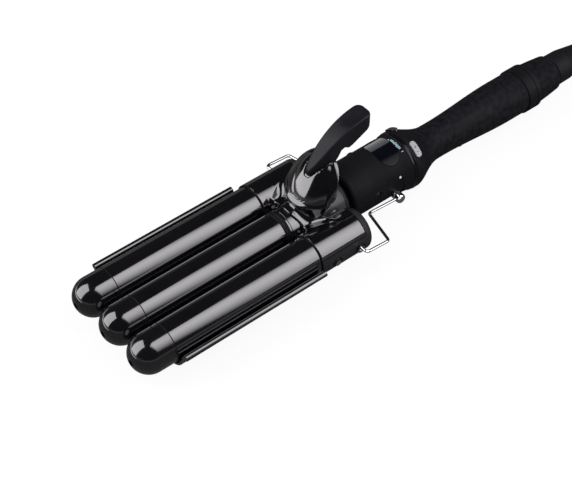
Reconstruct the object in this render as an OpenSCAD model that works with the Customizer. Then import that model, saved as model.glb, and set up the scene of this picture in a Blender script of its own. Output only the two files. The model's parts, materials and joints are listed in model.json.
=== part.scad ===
// Triple barrel hair waver.
// Station s runs along +X from the barrel tips to the cord end, +Y is the right hand side of
// a user who points the tips away, and z = 0 is the plane of the three barrel axes. Every
// module is drawn in that frame, and place() moves it so that the bounding box stands on the
// origin. All sizes are in millimetres.

/* [Barrels] */
// Outer diameter of each heated barrel
barrel_d = 25; // [22:0.5:26]
// Gap between neighbouring barrels
barrel_gap = 2; // [1.8:0.1:4]
// Wall thickness of the barrel tubes
barrel_wall = 1.2; // [0.8:0.1:2]
// Length of the cool tip caps
cap_length = 23.5; // [18:0.5:30]
// Diameter of the vent hole in each tip cap
cap_vent_d = 4; // [2:0.5:6]
// Visible length of the barrels from the caps to the sleeves
barrel_visible = 104.5; // [90:0.5:130]

/* [Sleeves] */
// Length of the glossy part of the outer sleeves
sleeve_gloss_length = 34; // [30:0.5:40]
// Length of the matte end caps behind the outer sleeves
sleeve_cap_length = 5; // [4:0.5:8]
// Wall thickness of the outer sleeves
sleeve_wall = 0.95; // [0.8:0.05:1.5]
// Angle above the horizontal at which the lower sleeve half stops
sleeve_split_angle = 21; // [10:1:30]
// Visible running gap between the fixed and the moving sleeves
sleeve_gap = 0.4; // [0.3:0.05:1]

/* [Wings] */
// Clearance between a barrel and the trough below it
trough_gap = 1.5; // [1.2:0.1:3]
// Wall thickness of the troughs
trough_wall = 1.3; // [1:0.1:2]
// Radius of the rolled bead on a trough's outer edge
bead_r = 2; // [1.5:0.1:3]
// Distance from the outer barrel axis to the bead's centre
bead_reach = 17.3; // [16.5:0.1:20]
// Height of the bead's centre above the barrel plane
bead_rise = 1.2; // [0:0.1:2]

/* [Jaw] */
// Distance from the front of the sleeves to the jaw's hinge axis
hinge_setback = 30; // [28:0.5:32]
// Height of the jaw's hinge axis above the top of the neck
hinge_rise = 3.4; // [3:0.1:4.5]
// Diameter of the hinge pin
hinge_pin_d = 3; // [2.5:0.1:3.5]
// Radial running clearance of the pins and journals
running_gap = 0.05; // [0.02:0.01:0.1]
// Radius of the egg shaped dome across its long axis
dome_r = 20.3; // [19:0.1:21]
// Half length of the dome along its long axis
dome_half_length = 26; // [24:0.5:28]
// Angle between the vertical and the dome's long axis, which leans backwards
dome_lean = 36; // [32:1:40]
// Backward rise of the lip round the dome's foot in degrees
lip_tilt = 12; // [8:1:15]
// Width of the thumb lever
lever_w = 13; // [10:0.2:16]

/* [Body] */
// Outer diameter of the body behind the hinge
body_d = 35.6; // [33:0.2:38]
// Height of the body's axis above the barrel plane
body_axis_z = 1.8; // [0:0.1:3]
// Wall thickness of the body and handle shells
shell_wall = 2; // [1.5:0.1:2.5]
// Largest diameter of the collar behind the display
collar_d = 39; // [37:0.5:42]
// Diameter of the narrowest part of the handle
waist_d = 23.2; // [22:0.2:28]
// Largest diameter of the grip
grip_d = 28.4; // [26:0.2:34]
// Height of the handle's axis above the barrel plane
grip_axis_z = 0.5; // [0:0.1:2]
// Diameter of the band round the end of the grip
band_d = 30; // [29:0.2:34]
// Length of the handle from the body's front to the tail cap's end
handle_length = 182.2; // [175:0.2:195]

/* [Controls] */
// Length of an oval button round the collar
button_length = 10.8; // [8:0.2:14]
// Width of an oval button along the handle
button_width = 3.8; // [3:0.2:7]
// Travel of the buttons
button_travel = 0.8; // [0.3:0.1:1]
// Angle between the top of the collar and each button
button_lean = 35; // [32:1:45]
// Gap round each button
button_gap = 0.2; // [0.1:0.05:0.4]

/* [Stand and cord gland] */
// Diameter of the stand's steel wire
stand_wire_d = 1.8; // [1.6:0.1:2.4]
// Distance from the body's front to the stand's axle
stand_axle_setback = 31.7; // [29:0.1:34]
// Height of the stand's axle above the barrel plane
stand_axle_z = -2.6; // [-3.5:0.1:-1]
// Distance from the outer sleeves to the axes of the stand's outer wires
stand_reach = 6.5; // [5.5:0.1:11]
// Diameter of the bore for the power cord
cord_bore_d = 6; // [5:0.1:7]
// Length of the swivelling gland's head
gland_length = 32; // [24:0.5:40]

/* [Hidden] */

$fn = 96;

// Clearance between parts that are only fitted together
fit_gap = 0.05;
// Overshoot of cutting tools past the faces that they cut
over = 1;
// Height and depth of the half spaces that split the shells
far = 400;

// Barrels, caps and heaters
barrel_r = barrel_d / 2;
barrel_pitch = barrel_d + barrel_gap;
barrel_bore_r = barrel_r - barrel_wall;
cap_gap = 0.25;
cap_spigot = 7.5;
cap_wall = 1.6;
barrel_start = cap_length + cap_gap;
// Foremost station, which is the rim of the vent in a tip cap
tip_s = barrel_r - sqrt(pow(barrel_r, 2) - pow(cap_vent_d / 2, 2));
sleeve_start = cap_length + barrel_visible;
sleeve_gloss_end = sleeve_start + sleeve_gloss_length;
sleeve_end = sleeve_gloss_end + sleeve_cap_length;
outer_barrel_end = sleeve_gloss_end - 2;
middle_collar_start = sleeve_start - 2;
middle_sleeve_start = sleeve_start + 1.6;
hinge_s = sleeve_start + hinge_setback;
middle_sleeve_end = hinge_s - 6;
middle_barrel_end = middle_sleeve_end - 8;
heater_start = barrel_start + 10.25;
heater_end = sleeve_start - 6;
heater_width = 12;
heater_height = 2.2;
heater_clamp_r = barrel_bore_r - fit_gap;
heater_clamp_floor = heater_height / 2 + fit_gap;

// Sleeves
sleeve_bore_r = barrel_r + fit_gap;
sleeve_r = sleeve_bore_r + sleeve_wall;
middle_sleeve_r = barrel_pitch - sleeve_r - sleeve_gap;
sleeve_screw_z = -1.5;
sleeve_screw_front_s = sleeve_start + 11;
sleeve_screw_rear_s = sleeve_gloss_end - 5.5;
sleeve_screw_r = 1.2;
sleeve_screw_length = 3.2;
sleeve_edge_round = 3.2;

// Wings and the yoke that carries them
wing_start = barrel_start + 1.25;
wing_end = sleeve_start - 1.8;
trough_r = barrel_r + trough_gap;
trough_outer_r = trough_r + trough_wall;
trough_inner_angle = -150;
collar_r = collar_d / 2;
rest_plane_z = grip_axis_z - collar_r;
yoke_rear = wing_end - 0.2;
yoke_length = 18;
yoke_front = yoke_rear - yoke_length;
wing_screw_s = yoke_rear - yoke_length / 2;
wing_boss_r = 3.4;
yoke_half_w = barrel_pitch + 2.5;
stem_half_w = 10;
stem_front = yoke_rear - 6;
stem_end = hinge_s + 6;
screw_head_h = 1.4;
screw_sink = 0.2;
wing_screw_head_z = rest_plane_z + screw_sink;
wing_boss_bottom = wing_screw_head_z + screw_head_h + 0.4;
yoke_screw_s = [hinge_s - 18, hinge_s];
yoke_screw_top = barrel_wall - barrel_r + 0.8;

// Hinge between the neck and the jaw
neck_start = middle_sleeve_end + 0.2;
neck_r = middle_sleeve_r;
hinge_z = neck_r + hinge_rise;
body_start = hinge_s + 13.8;
hinge_pin_r = hinge_pin_d / 2;
knuckle_r = 4.6;
knuckle_half_w = 9;
knuckle_slot_half_w = 5.2;
knuckle_floor = hinge_z - 6;
knuckle_plate = 1.6;
hinge_screw_r = 1;
hinge_screw_head_r = 1.5;
hinge_screw_offset = 3;
lug_inner = knuckle_half_w + 0.4;
lug_outer = lug_inner + 2;
spring_r = 3.2;
spring_wire_r = 0.55;
spring_turns = 5;
spring_pitch = 1.6;

// Jaw cover and lever
dome_s = hinge_s + 1.8;
dome_z = hinge_z + 0.7;
dome_wall = 2;
rim_s = hinge_s - 0.5;
rim_z = hinge_z + 4.9;
lip_height = 1.8;
lip_width = 2.4;
lip_proud = 0.8;
// How far the jaw's slanted rear edge lies in front of the dome's long axis
dome_cut = 9.2;
skirt_r = 20.2;
skirt_drop = 7;
cove_r = 4;
cove_foot_r = skirt_r + cove_r;
cover_floor = 5;
arch_r = middle_sleeve_r + sleeve_gap;
apron_wall = 0.8;
apron_front = sleeve_start + 4.6;
apron_sweep = 4.8;
web_front = sleeve_start + 6;
cover_cavity_half_w = neck_r + 0.3;
frame_floor = hinge_z + 1.5;
frame_thick = 1.5;
frame_top = hinge_z + 7.5;
frame_front = hinge_s - 15.7;
frame_step_s = hinge_s - 9.8;
frame_end = hinge_s + 4;
frame_foot_half_w = 8;
frame_screw_s = frame_front + 2.2;
frame_screw_y = 5.5;
frame_screw_head_r = 1.9;
lever_foot_z = frame_top + fit_gap;
lever_screw_s = hinge_s - 6.8;
lever_foot_start = frame_step_s + 0.4;
lever_foot_end = hinge_s - 2.5;
lever_front = [hinge_s - 9.8, hinge_z + 19.9];
lever_arch = [hinge_s + 10, hinge_z + 43.5];
lever_tip = [hinge_s + 35, hinge_z + 44.5];
lever_wide_s = lever_tip[0] - 8;
lever_slot_gap = 0.5;

// Body, handle and tail
body_r = body_d / 2;
body_back = body_start + 42.2;
front_wall = 1.6;
body_edge_round = 2.5;
seam_z = grip_axis_z;
collar_start = body_start + 40.2;
collar_start_r = body_r + 0.1;
collar_peak = body_start + 53.2;
body_split = collar_peak + 11;
waist_start = collar_peak + 23;
waist_end = waist_start + 4;
// Below 1 the collar falls steeply behind its peak and flattens towards the waist
collar_fall = 0.78;
tail_end = body_start + handle_length;
tail_length = 20.6;
tail_start = tail_end - tail_length;
band_width = 10.2;
band_end = tail_start - 0.2;
band_start = band_end - band_width;
grip_peak = band_start - 14;
waist_r = waist_d / 2;
grip_r = grip_d / 2;
band_r = band_d / 2;
band_seat_r = grip_r - 0.3;
tail_front_r = grip_r - 0.2;
tail_mid_r = grip_r - 1.1;
tail_end_r = grip_r - 2.1;
tail_chamfer = 1.2;
spigot_s = body_start + 24.2;
flange_start = body_start + front_wall + fit_gap;
body_screw_s = body_start + 18.7;
body_screw_z = body_axis_z + 2.5;
handle_screw_s = [waist_end + 16, band_start - 11];
handle_screw_y = 7;
handle_screw_r = 1.2;
handle_screw_head_r = 2.2;
handle_screw_seat_z = -6.5;
handle_screw_tip_z = 5.5;
handle_boss_r = 3.6;

// Controls
button_s = collar_peak + 0.7;
button_base_r = 15;
button_flange_r = 15.4;
button_top_r = collar_r + 0.8;
button_flange_edge = 0.8;
window_s = collar_peak - 17.3;
window_half_length = 12.6;
window_half_width = 7.6;
window_proud = 0.3;
window_thick = 2.1;
board_top = 2.8;
board_thick = 1.6;
board_start = spigot_s + 1;
board_wide_end = body_split - 5;
board_end = waist_end + 4;
carrier_r = 12;
carrier_wall = 1;
status_lens_s = window_s + 0.8;
status_lens_angle = 18;
status_lens_r = 0.8;

// Cord gland
gland_start = tail_end + 0.3;
total_length = gland_start + gland_length;
gland_r = 10.6;
gland_end_r = 7.6;
journal_r = 7;
gland_flange_r = 9.4;
gland_flange_end = tail_end - 9.2;
gland_flange_start = gland_flange_end - 3.8;
cord_bore_r = cord_bore_d / 2;

// Stand
stand_wire_r = stand_wire_d / 2;
stand_axle_s = body_start + stand_axle_setback;
stand_inner_y = body_r + 4.5;
stand_half_w = barrel_pitch + sleeve_r + stand_reach;
stand_elbow_s = body_start + 7;
stand_outer_s = body_start + 1.2;
stand_front_s = hinge_s - 2.4;
stand_tip_y = barrel_pitch + sleeve_r + 1.5;
stand_tilt = 4.5;
stand_bend_r = 2.2;
bend_lap = 0.2;
bend_swell = 0.02;
stand_cap_r = 3.2;
stand_cap_in = stand_inner_y - 1.5;
stand_cap_out = stand_inner_y + 3.2;
bush_r = 1.9;
bush_flange_r = 2.9;
bush_in = body_r - 2.8;
bush_out = stand_inner_y - stand_bend_r - 0.3;

// ---------------------------------------------------------------- helpers

// Moves the drawing frame so that the bounding box stands centred on the origin
module place() { translate([-(tip_s + total_length) / 2, 0, -rest_plane_z]) children(); }

// A round bar along X
module rod_x(s0, s1, r) {
    translate([s0, 0, 0]) rotate([0, 90, 0]) cylinder(h = s1 - s0, r = r);
}

// A round bar along Y
module rod_y(y0, y1, r) {
    translate([0, y0, 0]) rotate([-90, 0, 0]) cylinder(h = y1 - y0, r = r);
}

module tube_x(s0, s1, r, bore) {
    difference() {
        rod_x(s0, s1, r);
        rod_x(s0 - over, s1 + over, bore);
    }
}

// Turns [radius, station] points round the X axis
module turned_x(points) {
    rotate([0, 90, 0]) rotate_extrude() polygon(points);
}

// Extrudes an outline of the YZ plane along X
module prism_x(s0, s1) {
    translate([s0, 0, 0]) rotate([90, 0, 90]) linear_extrude(s1 - s0) children();
}

// Extrudes an outline of the XZ plane across Y
module prism_y(width) {
    rotate([90, 0, 0]) linear_extrude(width, center = true) children();
}

module box(low, high) { translate(low) cube(high - low); }

// A fan that keeps the angles from a0 to a1
module fan(a0, a1, reach) {
    steps = 12;
    polygon(concat([[0, 0]],
        [for (i = [0 : steps]) reach * [cos(a0 + (a1 - a0) * i / steps),
                                        sin(a0 + (a1 - a0) * i / steps)]]));
}

module ring_sector(r, bore, a0, a1) {
    intersection() {
        difference() {
            circle(r = r);
            circle(r = bore);
        }
        fan(a0, a1, 2 * r);
    }
}

// Puts a right hand part on both sides
module both_sides() {
    children();
    mirror([0, 1, 0]) children();
}

module on_side(side) {
    if (side > 0) children();
    else mirror([0, 1, 0]) children();
}

// A flat headed screw that points up, its head's underside at z = 0
module screw(shank_r, length, head_r) {
    translate([0, 0, -screw_head_h]) cylinder(h = screw_head_h, r = head_r);
    cylinder(h = length, r = shank_r);
}

function smooth(t) = t * t * (3 - 2 * t);
function blend(a, b, t) = a + (b - a) * smooth(min(1, max(0, t)));
function bezier(p, q, r, t) = (1 - t) * (1 - t) * p + 2 * t * (1 - t) * q + t * t * r;
function arc(cx, cy, r, a0, a1, steps) =
    [for (i = [0 : steps]) [cx + r * cos(a0 + (a1 - a0) * i / steps),
                            cy + r * sin(a0 + (a1 - a0) * i / steps)]];

// ---------------------------------------------------------------- barrels

module barrel_tube(end) { tube_x(barrel_start, end, barrel_r, barrel_bore_r); }

// Round nosed cap with a vent in the tip and a spigot into its barrel
module tip_cap() {
    inner_r = barrel_r - cap_wall;
    spigot_r = barrel_bore_r - fit_gap;
    difference() {
        union() {
            translate([barrel_r, 0, 0]) sphere(r = barrel_r);
            rod_x(barrel_r, cap_length, barrel_r);
            rod_x(cap_length - over, cap_length + cap_spigot, spigot_r);
        }
        translate([barrel_r, 0, 0]) sphere(r = inner_r);
        rod_x(barrel_r, cap_length - cap_wall, inner_r);
        rod_x(barrel_r, cap_length + cap_spigot + over, spigot_r - cap_wall);
        rod_x(-over, barrel_r, cap_vent_d / 2);
    }
}

// Flat ceramic heating strip
module heater_strip() {
    box([heater_start, -heater_width / 2, -heater_height / 2],
        [heater_end, heater_width / 2, heater_height / 2]);
}

// Two half round aluminium bars that press the strip and carry its heat to the tube
module heater_clamp() {
    difference() {
        rod_x(heater_start, heater_end, heater_clamp_r);
        box([heater_start - over, -barrel_r, -heater_clamp_floor],
            [heater_end + over, barrel_r, heater_clamp_floor]);
    }
}

module on_outer_axis(side) { translate([0, side * barrel_pitch, 0]) on_side(side) children(); }

module middle_barrel() {
    color("#101013") place() difference() {
        barrel_tube(middle_barrel_end);
        yoke_screw_holes(sleeve_screw_r + fit_gap);
    }
}

module middle_tip_cap() { color("#1b1b20") place() tip_cap(); }
module middle_heater() { color("#e8e2d2") place() heater_strip(); }
module middle_heater_clamp() { color("#b8bcc0") place() heater_clamp(); }

module outer_barrel(side) {
    color("#101013") place() difference() {
        on_outer_axis(side) barrel_tube(outer_barrel_end);
        sleeve_screw_holes(side);
    }
}

module outer_tip_cap(side) { color("#1b1b20") place() on_outer_axis(side) tip_cap(); }
module outer_heater(side) { color("#e8e2d2") place() on_outer_axis(side) heater_strip(); }
module outer_heater_clamp(side) { color("#b8bcc0") place() on_outer_axis(side) heater_clamp(); }

// ---------------------------------------------------------------- fixed jaw

// Collar at the root of the middle barrel and the sleeve behind it
module middle_sleeve() {
    groove_r = middle_sleeve_r - 0.5;
    color("#141417") place() difference() {
        union() {
            rod_x(middle_collar_start, middle_sleeve_end, groove_r);
            rod_x(middle_sleeve_start, middle_sleeve_end, middle_sleeve_r);
        }
        rod_x(middle_collar_start - over, middle_barrel_end + fit_gap, sleeve_bore_r);
        rod_x(middle_collar_start, middle_sleeve_end + over, barrel_bore_r - fit_gap);
        yoke_screw_holes(sleeve_screw_r);
    }
}

// Neck between the sleeve and the body, with a spigot inside the body
module neck() {
    spigot_r = body_r - shell_wall - fit_gap;
    tongue = 7;
    color("#4a494f") place() difference() {
        union() {
            rod_x(neck_start, flange_start + over, neck_r);
            rod_x(neck_start - tongue, neck_start + over, barrel_bore_r - 2 * fit_gap);
            translate([0, 0, body_axis_z]) rod_x(flange_start, spigot_s, spigot_r);
        }
        rod_x(neck_start - tongue - over, flange_start + shell_wall + over,
            barrel_bore_r - shell_wall);
        translate([0, 0, body_axis_z])
            rod_x(flange_start + shell_wall, spigot_s + over, spigot_r - shell_wall);
        knuckle_seat(fit_gap);
        neck_ring_seat(0);
        hinge_screw_holes();
        yoke_screw_holes(sleeve_screw_r);
        body_screw_holes(sleeve_screw_r);
    }
}

// Groove for the ring round the neck's end
module neck_ring_seat(gap) {
    tube_x(body_start - 2.2, body_start, neck_r + over, neck_r - 1 + gap);
}

module neck_ring() {
    ring_gap = 0.1;
    color("#8a8a90") place()
        tube_x(body_start - 2.2 + ring_gap, body_start - ring_gap, neck_r + 0.5, neck_r - 1 + fit_gap);
}

// Flat bottomed seat for the hinge block on top of the neck
module knuckle_seat(gap) {
    box([hinge_s - knuckle_r - gap, -knuckle_half_w - gap, knuckle_floor - gap],
        [hinge_s + knuckle_r + gap, knuckle_half_w + gap, hinge_z]);
}

// Steel block with two knuckles, which the jaw's pin runs in
module hinge_block() {
    color("#9a9ca0") place() difference() {
        union() {
            box([hinge_s - knuckle_r, -knuckle_half_w, knuckle_floor],
                [hinge_s + knuckle_r, knuckle_half_w, hinge_z]);
            translate([hinge_s, 0, hinge_z]) rod_y(-knuckle_half_w, knuckle_half_w, knuckle_r);
        }
        translate([hinge_s, 0, hinge_z])
            rod_y(-knuckle_half_w - over, knuckle_half_w + over, hinge_pin_r + running_gap);
        box([hinge_s - far, -knuckle_slot_half_w, knuckle_floor + knuckle_plate],
            [hinge_s + far, knuckle_slot_half_w, far]);
        hinge_screw_holes();
    }
}

module hinge_screw_holes() {
    for (y = [-1, 1]) translate([hinge_s + hinge_screw_offset, y * 3, knuckle_floor - 4.4])
        cylinder(h = 20, r = hinge_screw_r);
}

// Screws that hold the hinge block down on the neck
module hinge_screws() {
    color("silver") place() for (y = [-1, 1])
        translate([hinge_s + hinge_screw_offset, y * 3, knuckle_floor + knuckle_plate + fit_gap])
            mirror([0, 0, 1]) {
                translate([0, 0, -0.9]) cylinder(h = 0.9, r = hinge_screw_head_r);
                cylinder(h = 5, r = hinge_screw_r - fit_gap);
            }
}

// Coil of the torsion spring round the hinge axis, from its foot on the block's floor to the
// leg that pushes the jaw frame up behind the axis
spring_steps = 9;
spring_start_angle = -100;
spring_points = floor((spring_turns * 360 - spring_start_angle) * spring_steps / 360);
function spring_point(i) =
    let (angle = spring_start_angle + i * (spring_turns * 360 - spring_start_angle) / spring_points)
    [spring_r * cos(angle), (i - spring_points / 2) * spring_pitch / spring_steps,
     spring_r * sin(angle)];
spring_foot = spring_point(0) + [-3.4, 0, -0.6];
spring_tip = spring_point(spring_points)
    + [0, 0, frame_top - frame_thick - fit_gap - hinge_z];
spring_path = concat([spring_foot], [for (i = [0 : spring_points]) spring_point(i)], [spring_tip]);

// One ring of a tube round a point of its path
function tube_ring(path, i, r, sides) =
    let (last = len(path) - 1,
         along = path[min(i + 1, last)] - path[max(i - 1, 0)],
         t = along / norm(along),
         out = cross(t, [0, 1, 0.001]),
         u = out / norm(out),
         v = cross(t, u))
    [for (k = [0 : sides - 1]) path[i] + r * (cos(360 * k / sides) * u + sin(360 * k / sides) * v)];

// Sweeps a tube along a path, as one closed surface of triangles
module swept_tube(path, r, sides) {
    rings = len(path);
    points = [for (i = [0 : rings - 1]) each tube_ring(path, i, r, sides)];
    walls = [for (i = [0 : rings - 2]) for (k = [0 : sides - 1])
        let (a = i * sides + k, b = i * sides + (k + 1) % sides)
        each [[a, b, b + sides], [a, b + sides, a + sides]]];
    first_end = [for (k = [1 : sides - 2]) [0, k + 1, k]];
    base = (rings - 1) * sides;
    last_end = [for (k = [1 : sides - 2]) [base, base + k, base + k + 1]];
    polyhedron(points = points, faces = concat(first_end, walls, last_end), convexity = 10);
}

// Least gap between two turns of the spring, measured between points one turn apart
spring_gaps = [for (i = [0 : spring_points - spring_steps])
    norm(spring_point(i + spring_steps) - spring_point(i)) - 2 * spring_wire_r];
echo(least_spring_gap = min(spring_gaps));

module torsion_spring() {
    color("#c9ccd0") place() translate([hinge_s, 0, hinge_z])
        swept_tube(spring_path, spring_wire_r, 6);
}

// Radial holes through the sleeve and neck for the screws that hold the yoke
module yoke_screw_holes(r) {
    for (s = yoke_screw_s) translate([s, 0, rest_plane_z - over])
        cylinder(h = yoke_screw_top - rest_plane_z + 2 * over, r = r);
}

// Plate under the neck that carries both troughs and gives the part its flat foot
module lower_yoke() {
    saddle_r = trough_outer_r + fit_gap;
    foot_round = 3;
    color("#1f1f23") place() difference() {
        union() {
            intersection() {
                box([yoke_front, -yoke_half_w, rest_plane_z], [yoke_rear, yoke_half_w, -12]);
                translate([(yoke_front + yoke_rear) / 2, 0, rest_plane_z]) linear_extrude(far)
                    rounded_plate(yoke_rear - yoke_front, 2 * yoke_half_w, foot_round);
            }
            box([stem_front, -stem_half_w, rest_plane_z], [stem_end, stem_half_w, -11]);
        }
        both_sides() translate([0, barrel_pitch, 0])
            rod_x(yoke_front - over, stem_end + over, saddle_r);
        rod_x(yoke_front - over, middle_collar_start, barrel_r + 2);
        rod_x(middle_collar_start - over, stem_end + over, middle_sleeve_r + fit_gap);
        both_sides() wing_screw_place() {
            cylinder(h = 20, r = 1.4);
            translate([0, 0, wing_boss_bottom - fit_gap - wing_screw_head_z])
                cylinder(h = 20, r = wing_boss_r + fit_gap);
            translate([0, 0, -over]) cylinder(h = screw_head_h + over + fit_gap, r = 2.7);
        }
        for (s = yoke_screw_s) translate([s, 0, rest_plane_z - over]) {
            cylinder(h = 20, r = sleeve_screw_r + fit_gap);
            cylinder(h = screw_head_h + screw_sink + fit_gap + over, r = 2.7);
        }
    }
}

module rounded_plate(length, width, r) {
    union() {
        square([length - 2 * r, width], center = true);
        square([length, width - 2 * r], center = true);
        for (x = [-1, 1]) for (y = [-1, 1])
            translate([x * (length / 2 - r), y * (width / 2 - r)]) circle(r = r);
    }
}

// Screws up through the yoke into the neck and the middle sleeve
module yoke_screws() {
    head_z = rest_plane_z + screw_sink + screw_head_h;
    color("silver") place() for (s = yoke_screw_s)
        translate([s, 0, head_z]) screw(sleeve_screw_r - fit_gap, yoke_screw_top - head_z, 2.5);
}

module wing_screw_place() {
    translate([wing_screw_s, barrel_pitch, wing_screw_head_z]) children();
}

// Trough under one outer barrel: a part of a tube with a rolled bead on its outer edge
module wing(side) {
    color("#232327") place() on_side(side) difference() {
        union() {
            translate([0, barrel_pitch, 0]) prism_x(wing_start, wing_end) {
                ring_sector(trough_outer_r, trough_r, trough_inner_angle, 0);
                translate([bead_reach, bead_rise]) circle(r = bead_r);
                polygon([[trough_r, -1.2], [trough_outer_r + 0.4, -3.4],
                    [bead_reach + 0.6, bead_rise - bead_r + 0.15],
                    [bead_reach - bead_r + 0.1, bead_rise + 0.3],
                    [trough_outer_r - 0.3, 0.4], [trough_r, 0]]);
            }
            translate([wing_screw_s, barrel_pitch, wing_boss_bottom])
                cylinder(h = -wing_boss_bottom - trough_r - trough_wall / 2, r = wing_boss_r);
        }
        wing_screw_place() cylinder(h = wing_screw_length, r = 1.25 + fit_gap);
    }
}

wing_screw_length = -trough_r - 0.4 - wing_screw_head_z;

module wing_screws() {
    color("silver") place() both_sides() wing_screw_place() {
        cylinder(h = screw_head_h, r = 2.5);
        cylinder(h = wing_screw_length - 0.1, r = 1.25);
    }
}

// ---------------------------------------------------------------- moving jaw

// Holes for the two screws on the outer side of a sleeve
module sleeve_screw_holes(side) {
    on_side(side) for (s = [sleeve_screw_front_s, sleeve_screw_rear_s])
        translate([s, barrel_pitch, sleeve_screw_z]) rod_y(barrel_r - 3, 20, sleeve_screw_r + fit_gap);
}

// Matte lower half of an outer sleeve with its closed, rounded rear cap
module sleeve_base(side) {
    lining_r = sleeve_bore_r - 0.6;
    color("#3c3a42") place() difference() {
        on_outer_axis(side) {
            prism_x(sleeve_start, sleeve_gloss_end + bend_lap)
                ring_sector(sleeve_r, sleeve_bore_r, -180, sleeve_split_angle);
            difference() {
                turned_x(concat([[0, sleeve_gloss_end], [sleeve_r, sleeve_gloss_end]],
                    arc(sleeve_r - sleeve_edge_round, sleeve_end - sleeve_edge_round,
                        sleeve_edge_round, 0, 90, 8),
                    [[0, sleeve_end]]));
                rod_x(sleeve_gloss_end - over, sleeve_end - 1.6, lining_r - 1.2);
            }
        }
        sleeve_screw_holes(side);
    }
}

// Screws on the outer sides of the sleeves, the rear one with a socket
module sleeve_screws() {
    seat_y = sqrt(pow(sleeve_r, 2) - pow(sleeve_screw_z, 2)) + 0.25;
    color("#b9bcc2") place() both_sides() {
        translate([sleeve_screw_front_s, barrel_pitch, sleeve_screw_z]) {
            rod_y(seat_y - sleeve_screw_length, seat_y, sleeve_screw_r);
            rod_y(seat_y, seat_y + 0.7, 2);
        }
        translate([sleeve_screw_rear_s, barrel_pitch, sleeve_screw_z]) difference() {
            union() {
                rod_y(seat_y - sleeve_screw_length, seat_y, sleeve_screw_r);
                rod_y(seat_y, seat_y + 0.7, 2.6);
            }
            rod_y(seat_y + 0.1, seat_y + 2, 1.3);
        }
    }
}

// Moves to the dome's own frame, its long axis along z
module dome_frame() { translate([dome_s, 0, dome_z]) rotate([0, dome_lean, 0]) children(); }

// Moves to the frame of the lip round the dome's foot: its plane z = 0 is lower at the front
module rim_frame() { translate([rim_s, 0, rim_z]) rotate([0, -lip_tilt, 0]) children(); }

// Egg shaped solid of revolution, grown by a given thickness
module dome_solid(growth) {
    steps = 48;
    dome_frame() rotate_extrude() polygon([for (i = [0 : steps]) let (a = 180 * i / steps - 90)
        [(dome_r + growth) * cos(a), (dome_half_length + growth) * sin(a)]]);
}

// Half space above the plane of the lip, moved by a rise
module above_rim(rise) { rim_frame() translate([-far, -far, rise]) cube(2 * far); }

// Half space behind the jaw's slanted rear edge, moved forward by a shift
module behind_dome(shift) { dome_frame() translate([-dome_cut - shift, -far, -far]) cube(2 * far); }

// Steep wall under the lip with a cove at its foot
module skirt_solid() {
    deep = 24;
    rim_frame() rotate_extrude() polygon(concat([[0, -deep], [cove_foot_r, -deep]],
        arc(cove_foot_r, cove_r - skirt_drop, cove_r, 270, 180, 8),
        [[skirt_r, lip_height / 2], [0, lip_height / 2]]));
}

// Raised lip round the dome's foot and up along its slanted rear edge
module dome_lip() {
    intersection() {
        dome_solid(lip_proud);
        above_rim(0);
        union() {
            difference() {
                rim_frame() translate([-far, -far, -over]) cube([2 * far, 2 * far, lip_height + over]);
                behind_dome(0);
            }
            behind_dome(lip_width);
        }
    }
}

// Thin apron over the middle sleeve, its front edge swept back towards both sides
module apron() {
    steps = 12;
    intersection() {
        rod_x(apron_front, hinge_s, arch_r + apron_wall);
        translate([0, 0, cover_floor]) linear_extrude(far) polygon(concat(
            [for (i = [-steps : steps])
                [apron_front + apron_sweep * pow(i / steps, 2), i / steps * barrel_pitch / 2]],
            [[hinge_s, barrel_pitch / 2], [hinge_s, -barrel_pitch / 2]]));
    }
}

// Glossy cover: upper sleeve halves, the saddle between them and the dome over the hinge
module jaw_cover() {
    cavity_r = skirt_r - 2.8;
    color("#0c0c0f") place() difference() {
        union() {
            difference() {
                union() {
                    intersection() {
                        skirt_solid();
                        box([web_front, -barrel_pitch, cover_floor], [far, barrel_pitch, far]);
                    }
                    apron();
                    intersection() {
                        dome_solid(0);
                        above_rim(0);
                    }
                    dome_lip();
                }
                behind_dome(0);
                box([hinge_s - 6, -far, 0], [far, far, rim_z]);
                // Room inside for the frame, the lever's foot and the hinge
                intersection() {
                    dome_solid(-dome_wall);
                    box([0, -far, frame_floor], [far, far, far]);
                }
                translate([rim_s, 0, frame_floor])
                    cylinder(h = rim_z - frame_floor, r = cavity_r);
                box([frame_step_s - 1, -cover_cavity_half_w, 0],
                    [far, cover_cavity_half_w, rim_z + 2]);
                translate([0, 0, rim_z]) linear_extrude(far) lever_plan(lever_slot_gap);
                rod_x(apron_front - over, far, arch_r);
                both_sides() translate([0, barrel_pitch, 0]) rod_x(0, far, sleeve_bore_r);
                frame_screw_holes();
            }
            both_sides() translate([0, barrel_pitch, 0]) prism_x(sleeve_start, sleeve_gloss_end)
                ring_sector(sleeve_r, sleeve_bore_r, sleeve_split_angle, 180);
        }
    }
}

module frame_screw_holes() {
    for (y = [-1, 1]) translate([frame_screw_s, y * frame_screw_y, frame_floor - 3])
        cylinder(h = 3 + over, r = 1.1);
}

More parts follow.
